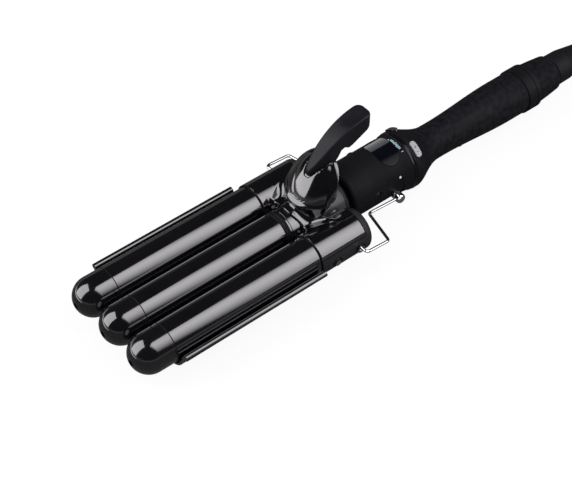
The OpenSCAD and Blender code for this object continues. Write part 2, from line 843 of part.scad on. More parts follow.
// Folded steel bracket: foot on the cover, raised plate over the hinge and two lugs
module jaw_frame() {
    color("#8f9297") place() difference() {
        union() {
            box([frame_front, -frame_foot_half_w, frame_floor + fit_gap],
                [frame_step_s, frame_foot_half_w, frame_floor + fit_gap + frame_thick]);
            box([frame_step_s - frame_thick, -frame_foot_half_w, frame_floor + fit_gap],
                [frame_step_s, frame_foot_half_w, frame_top]);
            box([frame_step_s - frame_thick, -lug_outer, frame_top - frame_thick],
                [frame_end, lug_outer, frame_top]);
            both_sides() {
                translate([hinge_s, 0, hinge_z]) rod_y(lug_inner, lug_outer, knuckle_r);
                box([hinge_s - knuckle_r, lug_inner, hinge_z],
                    [frame_end, lug_outer, frame_top - frame_thick / 2]);
            }
        }
        translate([hinge_s, 0, hinge_z]) rod_y(-lug_outer - over, lug_outer + over, hinge_pin_r);
        for (y = [-1, 1]) translate([frame_screw_s, y * frame_screw_y, 0])
            cylinder(h = far, r = 1.3);
        translate([lever_screw_s, 0, 0]) cylinder(h = far, r = 1.3);
    }
}

module frame_screws() {
    color("silver") place() for (y = [-1, 1])
        translate([frame_screw_s, y * frame_screw_y, frame_floor + 2 * fit_gap + frame_thick])
            mirror([0, 0, 1]) screw(1.05, 4, frame_screw_head_r);
}

module hinge_pin() {
    head_y = lug_outer + 0.1;
    color("#d4d6d9") place() translate([hinge_s, 0, hinge_z]) {
        rod_y(-lug_outer - 0.4, head_y, hinge_pin_r);
        rod_y(head_y, head_y + 1.1, hinge_pin_r + 0.9);
    }
}

// Side view of the thumb lever: arched top, blunt end, and a foot inside the dome
lever_outline = concat(
    [for (i = [0 : 24]) bezier(lever_front, lever_arch, lever_tip, i / 24)],
    arc(lever_tip[0] - 0.6, lever_tip[1] - 3, 3, 75, -50, 8),
    [for (p = [[34.6, 34.5], [20, 27.3], [17.6, 26.7], [14.6, 28.5], [12.4, 27.5], [10, 23.2]])
        [hinge_s + p[0], hinge_z + p[1]]],
    [[lever_foot_end, lever_foot_z], [lever_foot_start, lever_foot_z],
     [lever_foot_start, hinge_z + 15.5]]);

// Top view of the lever, grown by a gap: long elliptic front, rear end with rounded corners
module lever_plan(gap) {
    half_w = lever_w / 2 + gap;
    corner_r = 4.6 + gap;
    rear_s = lever_tip[0] + 0.4 + gap - corner_r;
    polygon(concat(
        [for (i = [0 : 32]) let (a = 90 + 180 * i / 32)
            [lever_wide_s + (lever_wide_s - lever_front[0] + gap) * cos(a),
             half_w * sign(sin(a)) * pow(abs(sin(a)), 0.8)]],
        arc(rear_s, corner_r - half_w, corner_r, 270, 360, 8),
        arc(rear_s, half_w - corner_r, corner_r, 0, 90, 8)));
}

// Long oval dish for the thumb: the underside of a ring that stands on edge
module thumb_dish() {
    dish_depth = 0.9;
    along_r = 57;
    across_r = 12;
    top = bezier(lever_front, lever_arch, lever_tip, 0.8);
    translate([top[0], 0, top[1]]) rotate([0, -12.5, 0]) translate([0, 0, along_r - dish_depth])
        rotate([90, 0, 0]) rotate_extrude() translate([along_r - across_r, 0]) circle(r = across_r);
}

module thumb_lever() {
    color("#3b3940") place() difference() {
        intersection() {
            prism_y(2 * lever_w) polygon(lever_outline);
            linear_extrude(far) lever_plan(0);
        }
        thumb_dish();
        translate([lever_screw_s, 0, lever_foot_z - over]) cylinder(h = 7, r = 1.1);
    }
}

module lever_screw() {
    color("silver") place() translate([lever_screw_s, 0, frame_top - frame_thick - fit_gap])
        screw(1.05, 7, 2.1);
}

// ---------------------------------------------------------------- body and handle

// Radius of the collar, waist and grip along the handle
function grip_radius(s) =
    s < collar_peak ? blend(collar_start_r, collar_r, (s - collar_start) / (collar_peak - collar_start))
    : s < waist_end ? blend(collar_r, waist_r,
        pow((s - collar_peak) / (waist_start - collar_peak), collar_fall))
    : blend(waist_r, grip_r, (s - waist_end) / (grip_peak - waist_end));

grip_step = 1.5;
function grip_outline(s0, s1, inset) =
    let (steps = ceil((s1 - s0) / grip_step))
    [for (i = [0 : steps]) let (s = s0 + (s1 - s0) * i / steps) [grip_radius(s) - inset, s]];

module grip_solid(inset, s0, s1) {
    translate([0, 0, grip_axis_z])
        turned_x(concat([[0, s0]], grip_outline(s0, s1, inset), [[0, s1]]));
}

// Body behind the hinge with its rounded front edge
module body_solid() {
    translate([0, 0, body_axis_z]) turned_x(concat([[0, body_start]],
        arc(body_r - body_edge_round, body_start + body_edge_round, body_edge_round, -90, 0, 6),
        [[body_r, body_back], [0, body_back]]));
}

module body_shell() {
    difference() {
        union() {
            body_solid();
            grip_solid(0, collar_start, body_split);
        }
        rod_x(body_start - over, body_start + front_wall + over, neck_r + fit_gap);
        translate([0, 0, body_axis_z])
            rod_x(body_start + front_wall, body_back + 4, body_r - shell_wall);
        grip_solid(shell_wall, body_back + 3, body_split + over);
        stand_axle_hole();
        body_screw_holes(sleeve_screw_r);
        body_screw_heads();
    }
}

module above_seam() { translate([0, -far / 2, seam_z]) cube([far, far, far]); }
module below_seam() { translate([0, -far / 2, seam_z - far]) cube([far, far, far]); }

module stand_axle_hole() {
    translate([stand_axle_s, 0, stand_axle_z]) rod_y(-far, far, bush_r + fit_gap);
}

module body_screw_holes(r) {
    translate([body_screw_s, 0, body_screw_z]) rod_y(-far, far, r);
}

module body_screw_heads() {
    both_sides() translate([body_screw_s, body_r - 1.6, body_screw_z]) rod_y(0, 5, 2);
}

// Frame whose +z points out of the collar through the button on the given side
module button_frame(side) {
    translate([button_s, 0, grip_axis_z]) rotate([-side * button_lean, 0, 0]) children();
}

module oval(length, width) {
    translate([0, -(length - width) / 2]) circle(r = width / 2);
    translate([0, (length - width) / 2]) circle(r = width / 2);
    square([width, length - width], center = true);
}

module button_hole(side) {
    button_frame(side) translate([0, 0, 10]) linear_extrude(15)
        oval(button_length + 2 * button_gap, button_width + 2 * button_gap);
}

module window_plan(inset) {
    translate([window_s, 0]) oval(2 * (window_half_length - inset), 2 * (window_half_width - inset));
}

module status_lens_place() {
    translate([status_lens_s, 0, body_axis_z]) rotate([90 - status_lens_angle, 0, 0]) children();
}

module body_upper() {
    color("#2a292d") place() difference() {
        intersection() {
            body_shell();
            above_seam();
        }
        linear_extrude(far) window_plan(0);
        for (side = [-1, 1]) button_hole(side);
        status_lens_place() cylinder(h = far, r = status_lens_r + fit_gap);
    }
}

module body_lower() {
    color("#2a292d") place() intersection() {
        body_shell();
        below_seam();
    }
}

// Side screws that hold the body shells on the neck's spigot
module body_screws() {
    head_y = body_r - 1.6;
    color("#26262a") place() both_sides() translate([body_screw_s, 0, body_screw_z]) {
        rod_y(head_y - 4, head_y + 0.05, sleeve_screw_r - fit_gap);
        rod_y(head_y + 0.05, head_y + 0.9, 1.9);
    }
}

module display_window() {
    window_r = body_r + window_proud;
    color("#0a0d14") place() intersection() {
        translate([0, 0, body_axis_z]) tube_x(window_s - 20, window_s + 20, window_r,
            window_r - window_thick);
        linear_extrude(60) window_plan(0.1);
    }
}

// Display panel on two side legs that stand on the board
module display_module() {
    half_w = 8;
    color("#22303a") place() {
        box([203.5, -half_w, 13], [215, half_w, 15.3]);
        for (y = [-half_w, half_w - 1.2])
            box([204.5, y, board_top + fit_gap], [214, y + 1.2, 13]);
    }
}

module control_board() {
    wide = 12.9;
    narrow = 8;
    bottom = board_top - board_thick;
    color("#1f6b43") place() {
        box([board_start, -wide, bottom], [board_wide_end, wide, board_top]);
        box([board_wide_end - over, -narrow, bottom], [board_end, narrow, board_top]);
    }
}

// Arch on the board that carries the switches under the two buttons
module button_carrier() {
    color("#d8d4c4") place() intersection() {
        translate([0, 0, grip_axis_z]) tube_x(button_s - 6, button_s + 6, carrier_r + carrier_wall,
            carrier_r);
        box([0, -far, board_top + fit_gap], [far, far, far]);
    }
}

module button_switches() {
    half = 2.6;
    base = carrier_r + carrier_wall + fit_gap;
    top = button_base_r - button_travel - 0.1;
    color("#17171a") place() for (side = [-1, 1]) button_frame(side)
        box([-half, -half, base], [half, half, top]);
}

module status_lens() {
    color("#f2f6f8") place() status_lens_place()
        translate([0, 0, body_r - 2.6]) cylinder(h = 2.9, r = status_lens_r);
}

// Leads from the middle heater back to the board
module heater_leads() {
    color("#b04a3c") place() for (y = [-2.5, 2.5])
        translate([0, y, 0]) rod_x(heater_end + 0.2, board_start - 0.5, 0.9);
}

// Leads from the board back to the gland
module mains_leads() {
    color("#4a6cb0") place() for (y = [-1.6, 1.6]) translate([0, y, grip_axis_z + 0.3])
        rod_x(board_end + 0.2, gland_flange_start - 0.6, 1.1);
}

module handle_shell() {
    difference() {
        union() {
            difference() {
                grip_solid(0, body_split, band_start);
                grip_solid(shell_wall, body_split - over, band_start + over);
            }
            translate([0, 0, grip_axis_z])
                tube_x(band_start - 3, band_end, band_seat_r, grip_r - shell_wall);
            intersection() {
                for (s = handle_screw_s) for (y = [-1, 1])
                    translate([s, y * handle_screw_y, -20]) cylinder(h = 40, r = handle_boss_r);
                grip_solid(0.5, body_split, band_start);
            }
        }
        handle_screw_holes();
    }
}

module handle_screw_holes() {
    for (s = handle_screw_s) for (y = [-1, 1]) translate([s, y * handle_screw_y, -20]) {
        cylinder(h = 20 + handle_screw_tip_z + 0.5, r = handle_screw_r + fit_gap);
        cylinder(h = 20 + handle_screw_seat_z, r = handle_screw_head_r + 0.2);
    }
}

module handle_upper() {
    color("#2d2c33") place() intersection() {
        handle_shell();
        above_seam();
    }
}

module handle_lower() {
    color("#2d2c33") place() intersection() {
        handle_shell();
        below_seam();
    }
}

// Screws that pull the two handle shells together, sunk in the lower one
module handle_screws() {
    head_z = handle_screw_seat_z - fit_gap;
    color("#77787c") place() for (s = handle_screw_s) for (y = [-1, 1])
        translate([s, y * handle_screw_y, head_z])
            screw(handle_screw_r, handle_screw_tip_z - head_z, handle_screw_head_r);
}

module grip_band() {
    groove = 0.4;
    color("#2b2a30") place() translate([0, 0, grip_axis_z]) difference() {
        tube_x(band_start, band_end, band_r, band_seat_r + fit_gap);
        tube_x(band_start + 6.6, band_start + 7.2, band_r + over, band_r - groove);
    }
}

module tail_cap() {
    spigot_r = grip_r - shell_wall - fit_gap;
    cavity_r = gland_flange_r + 0.4;
    color("#2d2c33") place() translate([0, 0, grip_axis_z]) difference() {
        union() {
            turned_x([[0, tail_start], [tail_front_r, tail_start],
                [tail_mid_r, tail_start + tail_length / 2],
                [tail_end_r, tail_end - tail_chamfer], [tail_end_r - tail_chamfer, tail_end],
                [0, tail_end]]);
            rod_x(band_start + 3, tail_start + over, spigot_r);
        }
        rod_x(band_start, gland_flange_end + 0.3, cavity_r);
        rod_x(band_start, tail_end + over, journal_r + running_gap);
    }
}

// Swivelling gland: flange and journal in the tail cap, tapered head with the cord's bore
module cord_gland() {
    head_end = gland_start + gland_length;
    color("#29282e") place() translate([0, 0, grip_axis_z]) difference() {
        union() {
            turned_x(concat([[0, gland_start], [gland_r - 0.8, gland_start],
                [gland_r, gland_start + 0.8], [gland_r - 0.2, gland_start + 12]],
                arc(gland_end_r - 2, head_end - 2, 2, 0, 90, 6), [[0, head_end]]));
            rod_x(gland_flange_end - over, gland_start + over, journal_r);
            rod_x(gland_flange_start, gland_flange_end, gland_flange_r);
        }
        rod_x(gland_flange_start - over, head_end + over, cord_bore_r);
    }
}

// ---------------------------------------------------------------- stand and buttons

// Stand's bends on the right side seen from above, from its axle to the tip beside the sleeve.
// Stations are counted from the axle, and the wire lies in one plane tilted about the axle.
stand_bends = [
    [0, 0],
    [0, stand_inner_y],
    [stand_elbow_s - stand_axle_s, stand_inner_y],
    [stand_outer_s - stand_axle_s, stand_half_w],
    [stand_front_s - stand_axle_s, stand_half_w],
    [stand_front_s - stand_axle_s, stand_tip_y]];

function unit(v) = v / norm(v);
function heading(i) = unit(stand_bends[i + 1] - stand_bends[i]);
// Turn at a bend in degrees, positive to the left
function turn(i) = let (u = heading(i - 1), v = heading(i))
    atan2(u[0] * v[1] - u[1] * v[0], u[0] * v[0] + u[1] * v[1]);
// Length that the rounding of a bend takes off each of its straight legs
function trim(i) = i == 0 || i == len(stand_bends) - 1 ? 0 : stand_bend_r * tan(abs(turn(i)) / 2);

// Straight leg that reaches a little into the rounded bends at its ends
module straight_leg(i) {
    u = heading(i);
    lap_1 = i == len(stand_bends) - 2 ? 0 : bend_lap;
    start = stand_bends[i] + (trim(i) - bend_lap) * u;
    length = norm(stand_bends[i + 1] - stand_bends[i]) - trim(i) - trim(i + 1) + bend_lap + lap_1;
    translate([start[0], start[1], 0]) rotate([0, 90, atan2(u[1], u[0])])
        cylinder(h = length, r = stand_wire_r);
}

module rounded_bend(i) {
    u = heading(i - 1);
    angle = turn(i);
    left = sign(angle);
    side = left * [-u[1], u[0]];
    centre = stand_bends[i] - trim(i) * u + stand_bend_r * side;
    start = atan2(-side[1], -side[0]);
    translate([centre[0], centre[1], 0]) rotate([0, 0, left > 0 ? start : start + angle])
        rotate_extrude(angle = abs(angle)) translate([stand_bend_r, 0])
            circle(r = stand_wire_r + bend_swell, $fn = 32);
}

// One bent wire that runs through the body and along both sides
module stand_wire() {
    axle_half = stand_inner_y - stand_bend_r + bend_lap;
    color("#d9dbde") place() translate([stand_axle_s, 0, stand_axle_z]) rotate([0, stand_tilt, 0]) {
        rod_y(-axle_half, axle_half, stand_wire_r);
        both_sides() {
            for (i = [1 : len(stand_bends) - 2]) straight_leg(i);
            for (i = [1 : len(stand_bends) - 2]) rounded_bend(i);
        }
    }
}

// Domed caps over the bends beside the body, each slotted for the wire
module stand_caps() {
    slot_gap = 0.1;
    slot_r = stand_wire_r + slot_gap;
    edge_r = 1.6;
    color("#e4e6e9") place() both_sides() translate([stand_axle_s, 0, stand_axle_z])
        rotate([0, stand_tilt, 0]) difference() {
            rotate([-90, 0, 0]) rotate_extrude() polygon(concat(
                [[0, stand_cap_in], [stand_cap_r - 0.6, stand_cap_in],
                    [stand_cap_r, stand_cap_in + 0.6]],
                arc(stand_cap_r - edge_r, stand_cap_out - 0.3 - edge_r, edge_r, 0, 78, 6),
                [[0, stand_cap_out]]));
            box([-stand_cap_r - over, 0, -slot_r], [slot_r, stand_inner_y + slot_r, slot_r]);
        }
}

// Flanged steel bushes in the body wall, which the wire turns in
module stand_bushes() {
    color("#c9ccd0") place() both_sides() translate([stand_axle_s, 0, stand_axle_z]) difference() {
        union() {
            rod_y(bush_in, bush_out, bush_r);
            rod_y(body_r + fit_gap, bush_out, bush_flange_r);
        }
        rod_y(bush_in - over, bush_out + over, stand_wire_r + running_gap);
    }
}

// Oval button with a flange inside the collar and a top that follows the collar
module oval_button(side) {
    color("#c3c5c9") place() intersection() {
        button_frame(side) {
            translate([0, 0, button_base_r]) linear_extrude(20) oval(button_length, button_width);
            translate([0, 0, button_base_r]) linear_extrude(button_flange_r - button_base_r)
                oval(button_length + 2 * button_flange_edge, button_width + 2 * button_flange_edge);
        }
        translate([0, 0, grip_axis_z]) rod_x(button_s - 20, button_s + 20, button_top_r);
    }
}

middle_barrel();
middle_tip_cap();
middle_heater();
middle_heater_clamp();
middle_sleeve();
neck();
neck_ring();
hinge_block();
hinge_screws();
torsion_spring();
lower_yoke();
yoke_screws();
wing(-1);  // left_wing
wing(1);  // right_wing
wing_screws();
body_upper();
body_lower();
body_screws();
display_window();
display_module();
control_board();
button_carrier();
button_switches();
status_lens();
stand_bushes();
heater_leads();
mains_leads();
handle_upper();
handle_lower();
handle_screws();
grip_band();
tail_cap();
jaw_cover();
thumb_lever();
lever_screw();
jaw_frame();
frame_screws();
hinge_pin();
outer_barrel(-1);  // left_barrel
outer_barrel(1);  // right_barrel
outer_tip_cap(-1);  // left_tip_cap
outer_tip_cap(1);  // right_tip_cap
outer_heater(-1);  // left_heater
outer_heater(1);  // right_heater
outer_heater_clamp(-1);  // left_heater_clamp
outer_heater_clamp(1);  // right_heater_clamp
sleeve_base(-1);  // left_sleeve_base
sleeve_base(1);  // right_sleeve_base
sleeve_screws();
stand_wire();
stand_caps();
oval_button(-1);  // temperature_button
oval_button(1);  // power_button
cord_gland();
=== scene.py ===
"""Studio scene for the hair waver: materials, fine detail, lights and the photograph's camera."""

import json
import math

import bpy
import numpy as np
from mathutils import Matrix, Vector


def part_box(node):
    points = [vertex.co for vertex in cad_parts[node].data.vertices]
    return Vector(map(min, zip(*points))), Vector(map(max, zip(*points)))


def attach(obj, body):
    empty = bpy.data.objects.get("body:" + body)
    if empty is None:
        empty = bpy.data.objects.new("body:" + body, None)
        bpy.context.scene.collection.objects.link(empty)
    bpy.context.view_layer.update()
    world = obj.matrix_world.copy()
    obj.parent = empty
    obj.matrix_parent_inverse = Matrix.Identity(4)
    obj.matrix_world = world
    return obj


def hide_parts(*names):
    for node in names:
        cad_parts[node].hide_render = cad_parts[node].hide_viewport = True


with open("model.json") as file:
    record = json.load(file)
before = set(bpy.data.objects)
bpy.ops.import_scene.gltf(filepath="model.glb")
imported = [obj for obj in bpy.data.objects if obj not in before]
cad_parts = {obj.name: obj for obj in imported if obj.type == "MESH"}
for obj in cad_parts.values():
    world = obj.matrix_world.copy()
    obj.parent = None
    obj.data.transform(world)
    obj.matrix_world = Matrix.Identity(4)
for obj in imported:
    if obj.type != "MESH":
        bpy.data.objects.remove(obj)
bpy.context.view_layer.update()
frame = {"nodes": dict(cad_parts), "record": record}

MM = 0.001
# The drawing's stations run from the barrel tips, and its heights from the barrel plane
BARREL_START = 23.75
MIDDLE_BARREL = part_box("middle_barrel")
AXIS_Z = (MIDDLE_BARREL[0][2] + MIDDLE_BARREL[1][2]) / 2
STATION_0 = MIDDLE_BARREL[0][0] - BARREL_START * MM


def at(s, y, z):
    """A point given in the drawing's millimetres, in the frame's metres."""
    return Vector((STATION_0 + s * MM, y * MM, AXIS_Z + z * MM))


# ---------------------------------------------------------------- materials


MATERIALS = {}


def material(name, color, rough, metal=0.0, coat=0.0, coat_rough=0.03, spec=0.5, coat_ior=1.5):
    """A new material, kept in MATERIALS under its name."""
    m = bpy.data.materials.new(name)
    MATERIALS[name] = m
    m.use_nodes = True
    m.diffuse_color = (*color, 1)
    b = m.node_tree.nodes["Principled BSDF"]
    b.inputs["Base Color"].default_value = (*color, 1)
    b.inputs["Roughness"].default_value = rough
    b.inputs["Metallic"].default_value = metal
    b.inputs["Specular IOR Level"].default_value = spec
    b.inputs["Coat Weight"].default_value = coat
    b.inputs["Coat Roughness"].default_value = coat_rough
    b.inputs["Coat IOR"].default_value = coat_ior
    return m


def node(m, kind, **values):
    """A new node, with values for its inputs or its own settings."""
    n = m.node_tree.nodes.new(kind)
    for key, value in values.items():
        if key in n.inputs:
            n.inputs[key].default_value = value
        else:
            setattr(n, key, value)
    return n


def link(m, a, b):
    m.node_tree.links.new(a, b)


def place_node(m):
    """Object coordinates, in metres."""
    return node(m, "ShaderNodeTexCoord").outputs["Object"]


def noise(m, scale, detail):
    n = node(m, "ShaderNodeTexNoise", Scale=scale, Detail=detail, Roughness=0.5)
    link(m, place_node(m), n.inputs["Vector"])
    return n.outputs["Fac"]


def spread(m, source, low, high, source_low=0.3, source_high=0.7):
    """Map a value's range to another, from low to high."""
    n = node(m, "ShaderNodeMapRange")
    n.inputs["From Min"].default_value = source_low
    n.inputs["From Max"].default_value = source_high
    n.inputs["To Min"].default_value = low
    n.inputs["To Max"].default_value = high
    link(m, source, n.inputs["Value"])
    return n.outputs["Result"]


def vary_rough(m, scale, low, high):
    b = m.node_tree.nodes["Principled BSDF"]
    link(m, spread(m, noise(m, scale, 4.0), low, high), b.inputs["Roughness"])


def vary_color(m, scale, dark, light):
    b = m.node_tree.nodes["Principled BSDF"]
    # Sockets 6 and 7 of a mix node take its two colours, and output 2 gives the mixed one
    mix = node(m, "ShaderNodeMix", data_type="RGBA")
    link(m, spread(m, noise(m, scale, 4.0), 0.0, 1.0), mix.inputs[0])
    mix.inputs[6].default_value = (*dark, 1)
    mix.inputs[7].default_value = (*light, 1)
    link(m, mix.outputs[2], b.inputs["Base Color"])


def grain(m, scale, depth, detail=2.0):
    """Fine relief, its depth in metres."""
    b = m.node_tree.nodes["Principled BSDF"]
    n = node(m, "ShaderNodeBump", Strength=1.0, Distance=depth)
    link(m, noise(m, scale, detail), n.inputs["Height"])
    if b.inputs["Normal"].links:
        link(m, b.inputs["Normal"].links[0].from_socket, n.inputs["Normal"])
    link(m, n.outputs["Normal"], b.inputs["Normal"])


def plastic(name, color, rough, grain_scale, depth, shade=0.25, **more):
    """Colour and roughness vary a little about their means, under a fine grain."""
    m = material(name, color, rough, **more)
    vary_color(m, 60, [c * (1 - shade) for c in color], [c * (1 + shade) for c in color])
    vary_rough(m, 90, rough - 0.05, rough + 0.05)
    grain(m, grain_scale, depth)
    return m


def metal(name, color, rough):
    """Metal with a slightly uneven tone and polish and fine relief."""
    m = material(name, color, rough, metal=1.0)
    vary_color(m, 80, [c * 0.88 for c in color], color)
    vary_rough(m, 300, rough * 0.7, rough * 1.2)
    grain(m, 1600, 0.000004)
    return m


def build_materials():
    barrel = material(
        "barrel_coating", (0.0035, 0.0035, 0.005), 0.12, coat=1.0, coat_ior=1.9, coat_rough=0.07)
    vary_color(barrel, 60, (0.0027, 0.0027, 0.004), (0.0043, 0.0043, 0.006))
    vary_rough(barrel, 120, 0.07, 0.13)
    grain(barrel, 900, 0.000002)
    # Name, colour, roughness, scale of the grain and its depth
    plastic("cap_gloss", (0.004, 0.004, 0.0055), 0.14, 700, 0.0000015,
            coat=1.0, coat_ior=1.85, coat_rough=0.08)
    plastic("cover_gloss", (0.003, 0.003, 0.0042), 0.1, 500, 0.0000012,
            coat=1.0, coat_ior=1.9, coat_rough=0.05)
    plastic("wing_coating", (0.004, 0.004, 0.0055), 0.2, 1200, 0.000002,
            coat=1.0, coat_ior=1.9, coat_rough=0.08)
    plastic("heater_ceramic", (0.8, 0.76, 0.66), 0.6, 1200, 0.00002)
    plastic("neck_satin", (0.05, 0.05, 0.056), 0.34, 1800, 0.000004)
    plastic("sleeve_matte", (0.019, 0.0187, 0.0222), 0.5, 2600, 0.00001, spec=0.3)
    plastic("soft_touch", (0.0065, 0.0063, 0.008), 0.6, 3000, 0.000014, spec=0.16)
    grip = plastic("grip_soft", (0.0078, 0.0078, 0.0108), 0.6, 3000, 0.000014, spec=0.16)
    vary_color(grip, 330, (0.003, 0.003, 0.0045), (0.0125, 0.0125, 0.017))
    grain(grip, 420, 0.00006, detail=4.0)
    plastic("band_matte", (0.007, 0.007, 0.0095), 0.55, 2600, 0.00001, spec=0.18)
    plastic("lever_satin", (0.0095, 0.009, 0.0125), 0.4, 2600, 0.000008, spec=0.24)
    plastic("window_dark", (0.003, 0.0035, 0.006), 0.09, 300, 0.000001, spec=0.12)
    plastic("display_black", (0.02, 0.03, 0.035), 0.2, 900, 0.00001)
    plastic("board_green", (0.015, 0.13, 0.05), 0.3, 900, 0.00001)
    plastic("carrier_cream", (0.6, 0.56, 0.46), 0.5, 1500, 0.00001)
    plastic("switch_black", (0.015, 0.015, 0.017), 0.45, 1500, 0.00001)
    plastic("lens_white", (0.8, 0.84, 0.87), 0.2, 900, 0.000002, shade=0.05)
    plastic("key_silver", (0.42, 0.43, 0.46), 0.28, 2600, 0.000004, shade=0.08)
    plastic("lead_red", (0.4, 0.06, 0.045), 0.45, 1500, 0.00001)
    plastic("lead_blue", (0.06, 0.12, 0.38), 0.45, 1500, 0.00001)
    plastic("mark_paint", (0.4, 0.62, 0.68), 0.4, 2600, 0.000004, shade=0.15)
    plastic("mark_dark", (0.02, 0.02, 0.024), 0.4, 2600, 0.000004)
    plastic("trim_gloss", (0.004, 0.004, 0.0055), 0.22, 900, 0.000002, spec=0.3)
    plastic("gland_rubber", (0.008, 0.008, 0.011), 0.55, 2200, 0.000012, spec=0.25)
    # Name, colour and roughness
    metal("clamp_aluminium", (0.6, 0.61, 0.63), 0.35)
    metal("hinge_steel", (0.5, 0.5, 0.52), 0.34)
    metal("screw_steel", (0.55, 0.55, 0.57), 0.25)
    metal("spring_steel", (0.6, 0.6, 0.62), 0.22)
    metal("stand_chrome", (0.86, 0.87, 0.89), 0.08)


def dress_nodes():
    """Each solid takes its slot's material. The far key looks black in the photo."""
    slots = {s["node"]: s["material_slot"] for s in frame["record"]["subparts"]}
    for name, obj in frame["nodes"].items():
        m = MATERIALS["cap_gloss" if name == "power_button" else slots[name]]
        obj.data.materials.clear()
        obj.data.materials.append(m)


# ---------------------------------------------------------------- smooth pieces from fields


def soft_min(a, b, k):
    """The lesser of two distances, rounded where they are within k of each other."""
    h = np.clip(0.5 + 0.5 * (b - a) / k, 0, 1)
    return b + (a - b) * h - k * h * (1 - h)


def soft_max(a, b, k):
    return -soft_min(-a, -b, k)


def slopes(field, points, reach=0.02):
    """The field's gradient at each point."""
    out = np.empty_like(points)
    for axis in range(3):
        shift = np.zeros(3)
        shift[axis] = reach
        out[:, axis] = field(*(points + shift).T) - field(*(points - shift).T)
    return out / (2 * reach)


def net_of(field, low, high, step):
    """Points and quads of a field's zero surface, in the drawing's millimetres."""
    low = np.array(low, float)
    counts = np.ceil((np.array(high) - low) / step).astype(int) + 1
    axes = [low[i] + step * np.arange(counts[i]) for i in range(3)]
    value = field(*np.meshgrid(*axes, indexing="ij"))
    inside = value < 0
    corners = [(i, j, k) for i in (0, 1) for j in (0, 1) for k in (0, 1)]
    held = sum(inside[tuple(slice(c, c + n - 1) for c, n in zip(corner, counts))].astype(np.int8)
               for corner in corners)
    mixed = (held > 0) & (held < 8)
    cells = np.argwhere(mixed)
    number = np.full(mixed.shape, -1)
    number[mixed] = np.arange(len(cells))
    total, hits = np.zeros((len(cells), 3)), np.zeros(len(cells))
    for corner in corners:
        for axis in range(3):
            if corner[axis]:
                continue
            other = list(corner)
            other[axis] = 1
            a = value[tuple((cells + corner).T)]
            b = value[tuple((cells + other).T)]
            crossed = (a < 0) != (b < 0)
            spot = np.tile(np.array(corner, float), (len(cells), 1))
            spot[:, axis] = np.where(crossed, a / np.where(crossed, a - b, 1), 0)
            total[crossed] += spot[crossed]
            hits += crossed
    points = low + step * (cells + total / hits[:, None])
    # Newton steps bring the points onto the surface
    for _ in range(3):
        lean = slopes(field, points)
        move = (field(*points.T) / np.maximum((lean ** 2).sum(1), 0.3))[:, None] * lean
        size = np.linalg.norm(move, axis=1, keepdims=True)
        points -= move * np.minimum(1, 0.4 * step / np.maximum(size, 1e-9))
    quads = []
    for axis in range(3):
        b, c = (axis + 1) % 3, (axis + 2) % 3
        near = [slice(1, -1)] * 3
        ahead = [slice(1, -1)] * 3
        near[axis], ahead[axis] = slice(0, -1), slice(1, None)
        here, there = inside[tuple(near)], inside[tuple(ahead)]
        for leaving, crossed in ((True, here & ~there), (False, ~here & there)):
            grid = np.argwhere(crossed)
            grid[:, b] += 1
            grid[:, c] += 1
            ring = []
            for db, dc in ((1, 1), (0, 1), (0, 0), (1, 0)):
                cell = grid.copy()
                cell[:, b] -= db
                cell[:, c] -= dc
                ring.append(number[tuple(cell.T)])
            quad = np.stack(ring, 1)
            quads.append(quad if leaving else quad[:, ::-1])
    return points, np.concatenate(quads)


def mesh_piece(name, points, faces, material_name, body, replaced=(), slot=None, smooth=True):
    """A mesh from points in the drawing's millimetres, riding on a body."""
    mesh = bpy.data.meshes.new(name)
    placed = np.array(points, float) * MM + np.array([STATION_0, 0, AXIS_Z])
    mesh.from_pydata(placed.tolist(), [], [list(map(int, f)) for f in faces])
    mesh.validate()
    if smooth:
        mesh.polygons.foreach_set("use_smooth", [True] * len(mesh.polygons))
    mesh.materials.append(MATERIALS[material_name])
    obj = bpy.data.objects.new(name, mesh)
    bpy.context.scene.collection.objects.link(obj)
    if replaced:
        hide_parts(*replaced)
    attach(obj, body)


# The same places and sizes as in the drawing, in its millimetres. Names in _S are stations,
# names in _Z heights above the barrel plane
HINGE_S, HINGE_Z, PITCH = 158.0, 16.5, 27.0
# Lean of the egg, tilt of the lip and slope of the split between cover and sleeve base
LEAN, TILT, SPLIT = math.radians(36), math.radians(12), math.radians(21)
EGG_R, EGG_H = 20.3, 26.0
DOME_S, DOME_Z, DOME_CUT = HINGE_S + 1.8, HINGE_Z + 0.7, 9.2
RIM_S, RIM_Z = HINGE_S - 0.5, HINGE_Z + 4.9
# The dome's front is nearly straight from the lip up to the lever
FRONT_S, FRONT_Z, FRONT_RISE, FRONT_RUN, FRONT_ROUND = 139.4, 20.8, 0.53, 0.848, 80
LIP_PROUD, LIP_H, LIP_REAR = 0.7, 1.6, 2.6
SKIRT_R, SKIRT_START, FOOT_Z = 20.2, 134, 5
APRON_R, APRON_START, APRON_SWEEP = 14.3, HINGE_S - 25.4, 4.8
COVER_START, SLEEVE_END, SLEEVE_R, BORE_R = 128.0, 162, 13.5, 12.55
# The skirt laps into the lip, and behind this station nothing reaches below the rim
SKIRT_LAP, LOW_END_S = 0.9, HINGE_S - 6
# Room inside for the hinge
HOLLOW_WALL, HOLLOW_FOOT_Z, MOUTH_R = 2, 18, 17.4
REAR_ROOM_S, REAR_ROOM_HALF, REAR_ROOM_LIFT = 147.2, 13.4, 2
SLOT_DEPTH, SLOT_FRONT_GAP, SLOT_SIDE_GAP = 1.5, 0.6, 1.7
# The lever's plan: a blunt nose ahead of its widest station, a rounded rectangle behind
LEVER_HALF_W, LEVER_WIDEST_S, LEVER_NOSE, NOSE_POWER = 6.5, HINGE_S + 27, 36.8, 2.5
LEVER_END_S, LEVER_CORNER_R = HINGE_S + 35.4, 4.6
